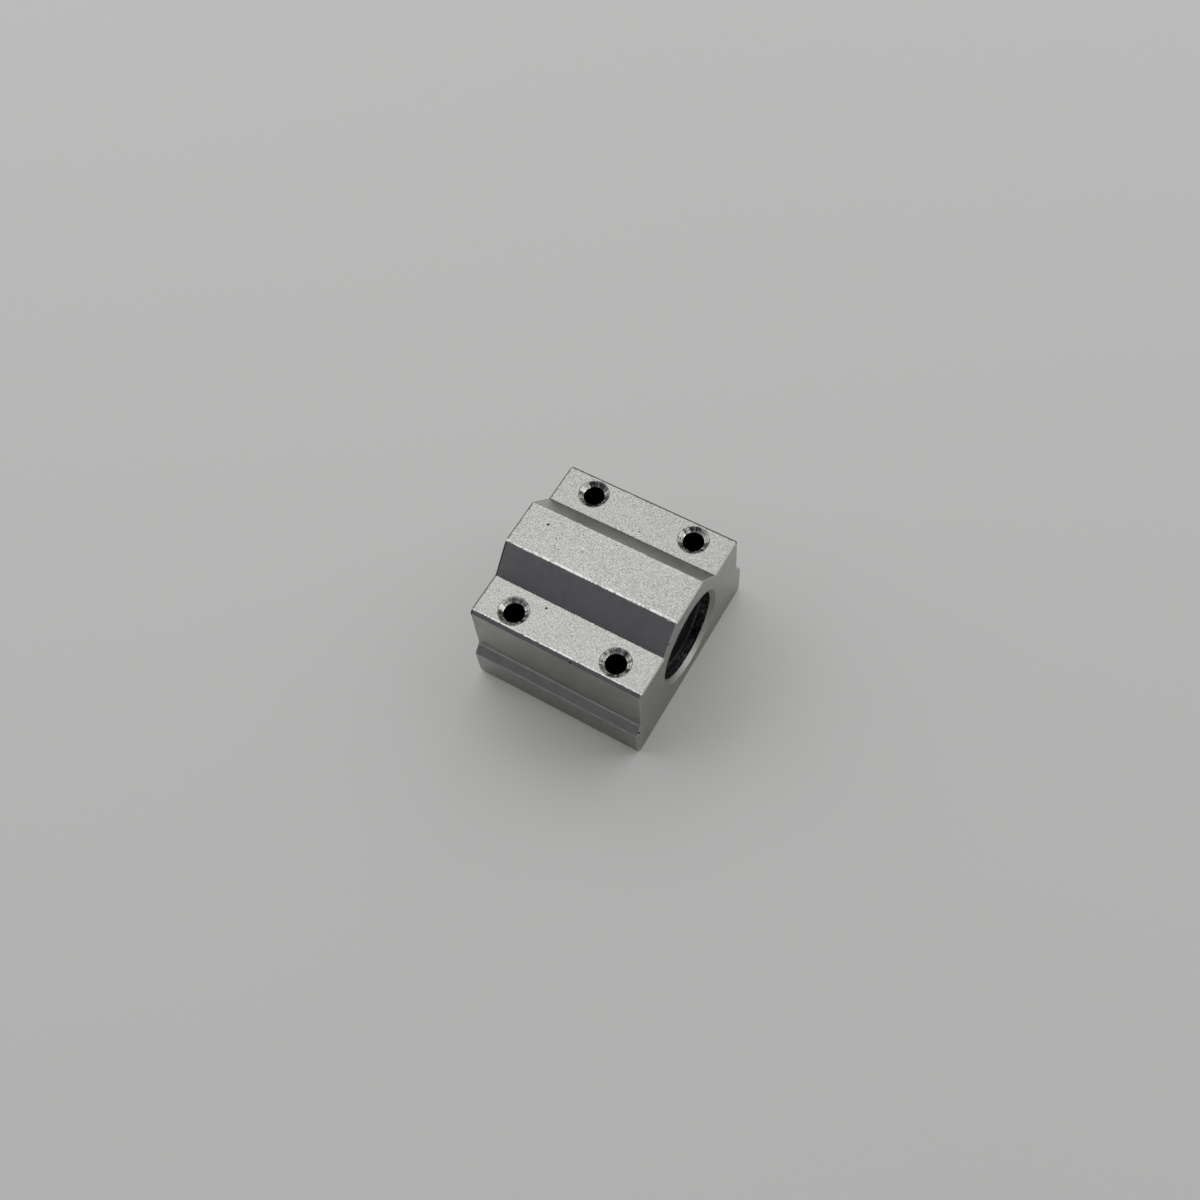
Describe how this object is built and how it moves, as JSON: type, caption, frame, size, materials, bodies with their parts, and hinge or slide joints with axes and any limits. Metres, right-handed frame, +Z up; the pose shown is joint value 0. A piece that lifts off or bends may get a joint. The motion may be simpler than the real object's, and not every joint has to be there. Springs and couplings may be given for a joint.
{
  "type": "linear bearing block",
  "caption": "Aluminium block with flange base and raised spine that holds a recirculating ball bushing and slides on a round shaft.",
  "frame": {"origin": "centre of the mounting face, at the bottom of the block", "axes": "+X along the shaft bore towards the front end, +Y across the block's width, +Z up from the mounting face"},
  "size_m": [0.03, 0.034, 0.0225],
  "materials": {
    "block_aluminium": "fine blasted, matt",
    "bearing_steel": "ground",
    "ball_steel": "polished",
    "retainer_resin": "moulded",
    "seal_rubber": "moulded nitrile rubber",
    "end_ring_steel": "bright pressed",
    "spring_steel": "phosphated dark"
  },
  "bodies": {
    "block": {"housing": "block_aluminium", "bearing_sleeve": "bearing_steel", "ball_retainer": "retainer_resin", "front_seal": "seal_rubber", "rear_seal": "seal_rubber", "front_end_ring": "end_ring_steel", "rear_end_ring": "end_ring_steel", "front_retaining_ring": "spring_steel", "rear_retaining_ring": "spring_steel"},
    "loaded_row_1": {"loaded_balls_1": "ball_steel"},
    "return_row_1": {"return_balls_1": "ball_steel"},
    "front_turn_1": {"front_turn_balls_1": "ball_steel"},
    "rear_turn_1": {"rear_turn_balls_1": "ball_steel"},
    "loaded_row_2": {"loaded_balls_2": "ball_steel"},
    "return_row_2": {"return_balls_2": "ball_steel"},
    "front_turn_2": {"front_turn_balls_2": "ball_steel"},
    "rear_turn_2": {"rear_turn_balls_2": "ball_steel"},
    "loaded_row_3": {"loaded_balls_3": "ball_steel"},
    "return_row_3": {"return_balls_3": "ball_steel"},
    "front_turn_3": {"front_turn_balls_3": "ball_steel"},
    "rear_turn_3": {"rear_turn_balls_3": "ball_steel"},
    "loaded_row_4": {"loaded_balls_4": "ball_steel"},
    "return_row_4": {"return_balls_4": "ball_steel"},
    "front_turn_4": {"front_turn_balls_4": "ball_steel"},
    "rear_turn_4": {"rear_turn_balls_4": "ball_steel"}
  },
  "joints": [
    {"name": "loaded_row_roll_1", "type": "slide", "parent": "block", "child": "loaded_row_1", "axis": [1, 0, 0], "range_m": [-0.0008, 0.0008]},
    {"name": "return_row_roll_1", "type": "slide", "parent": "block", "child": "return_row_1", "axis": [-1, 0, 0], "range_m": [-0.0008, 0.0008]},
    {"name": "front_turn_roll_1", "type": "hinge", "parent": "block", "child": "front_turn_1", "pos_m": [0.00637, 0.00223, 0.01537], "axis": [0, -0.668, -0.7441], "range_deg": [-30, 30]},
    {"name": "rear_turn_roll_1", "type": "hinge", "parent": "block", "child": "rear_turn_1", "pos_m": [-0.00637, 0.00223, 0.01537], "axis": [0, -0.668, -0.7441], "range_deg": [-30, 30]},
    {"name": "loaded_row_roll_2", "type": "slide", "parent": "block", "child": "loaded_row_2", "axis": [1, 0, 0], "range_m": [-0.0008, 0.0008]},
    {"name": "return_row_roll_2", "type": "slide", "parent": "block", "child": "return_row_2", "axis": [-1, 0, 0], "range_m": [-0.0008, 0.0008]},
    {"name": "front_turn_roll_2", "type": "hinge", "parent": "block", "child": "front_turn_2", "pos_m": [0.00637, -0.00437, 0.01323], "axis": [0, 0.7441, -0.668], "range_deg": [-30, 30]},
    {"name": "rear_turn_roll_2", "type": "hinge", "parent": "block", "child": "rear_turn_2", "pos_m": [-0.00637, -0.00437, 0.01323], "axis": [0, 0.7441, -0.668], "range_deg": [-30, 30]},
    {"name": "loaded_row_roll_3", "type": "slide", "parent": "block", "child": "loaded_row_3", "axis": [1, 0, 0], "range_m": [-0.0008, 0.0008]},
    {"name": "return_row_roll_3", "type": "slide", "parent": "block", "child": "return_row_3", "axis": [-1, 0, 0], "range_m": [-0.0008, 0.0008]},
    {"name": "front_turn_roll_3", "type": "hinge", "parent": "block", "child": "front_turn_3", "pos_m": [0.00637, -0.00223, 0.00663], "axis": [0, 0.668, 0.7441], "range_deg": [-30, 30]},
    {"name": "rear_turn_roll_3", "type": "hinge", "parent": "block", "child": "rear_turn_3", "pos_m": [-0.00637, -0.00223, 0.00663], "axis": [0, 0.668, 0.7441], "range_deg": [-30, 30]},
    {"name": "loaded_row_roll_4", "type": "slide", "parent": "block", "child": "loaded_row_4", "axis": [1, 0, 0], "range_m": [-0.0008, 0.0008]},
    {"name": "return_row_roll_4", "type": "slide", "parent": "block", "child": "return_row_4", "axis": [-1, 0, 0], "range_m": [-0.0008, 0.0008]},
    {"name": "front_turn_roll_4", "type": "hinge", "parent": "block", "child": "front_turn_4", "pos_m": [0.00637, 0.00437, 0.00877], "axis": [0, -0.7441, 0.668], "range_deg": [-30, 30]},
    {"name": "rear_turn_roll_4", "type": "hinge", "parent": "block", "child": "rear_turn_4", "pos_m": [-0.00637, 0.00437, 0.00877], "axis": [0, -0.7441, 0.668], "range_deg": [-30, 30]}
  ],
  "couplings": [
    {"joint": "return_row_roll_1", "follows": "loaded_row_roll_1", "ratio": 1},
    {"joint": "front_turn_roll_1", "follows": "loaded_row_roll_1", "rad_per_m": 657.89},
    {"joint": "rear_turn_roll_1", "follows": "loaded_row_roll_1", "rad_per_m": 657.89},
    {"joint": "return_row_roll_2", "follows": "loaded_row_roll_2", "ratio": 1},
    {"joint": "front_turn_roll_2", "follows": "loaded_row_roll_2", "rad_per_m": 657.89},
    {"joint": "rear_turn_roll_2", "follows": "loaded_row_roll_2", "rad_per_m": 657.89},
    {"joint": "return_row_roll_3", "follows": "loaded_row_roll_3", "ratio": 1},
    {"joint": "front_turn_roll_3", "follows": "loaded_row_roll_3", "rad_per_m": 657.89},
    {"joint": "rear_turn_roll_3", "follows": "loaded_row_roll_3", "rad_per_m": 657.89},
    {"joint": "return_row_roll_4", "follows": "loaded_row_roll_4", "ratio": 1},
    {"joint": "front_turn_roll_4", "follows": "loaded_row_roll_4", "rad_per_m": 657.89},
    {"joint": "rear_turn_roll_4", "follows": "loaded_row_roll_4", "rad_per_m": 657.89}
  ]
}
